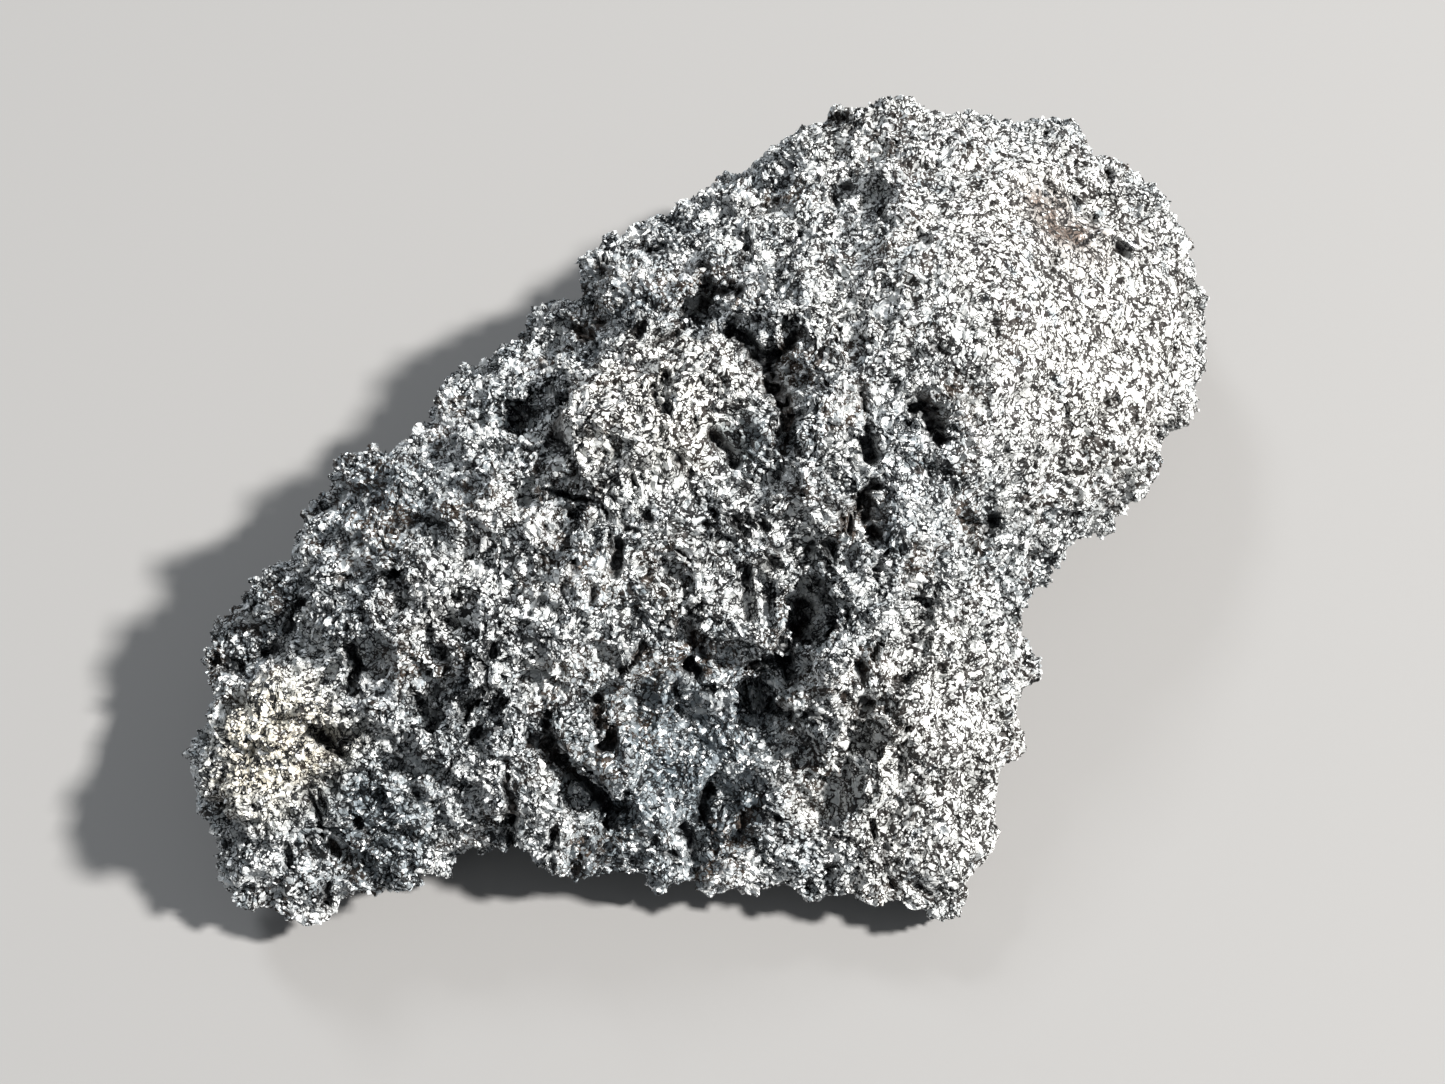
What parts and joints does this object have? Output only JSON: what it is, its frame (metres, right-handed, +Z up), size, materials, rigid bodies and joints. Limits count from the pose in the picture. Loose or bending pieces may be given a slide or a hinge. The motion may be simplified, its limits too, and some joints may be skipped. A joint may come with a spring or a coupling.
{
  "type": "specular hematite specimen",
  "caption": "Rough hand specimen of granular, glittering steel-grey iron ore with a raised lobe, a plateau, pits and cracks, resting on its broad side.",
  "frame": {"origin": "on the surface that the rock rests on, below the middle of its bounding box", "axes": "+X to the right along its longest side, towards the rounded lobe, +Y away from the side that faces the viewer, +Z up"},
  "size_m": [0.115, 0.103, 0.0453],
  "materials": {
    "hematite": "satin"
  },
  "bodies": {
    "root": {"specular_hematite": "hematite"}
  },
  "joints": []
}
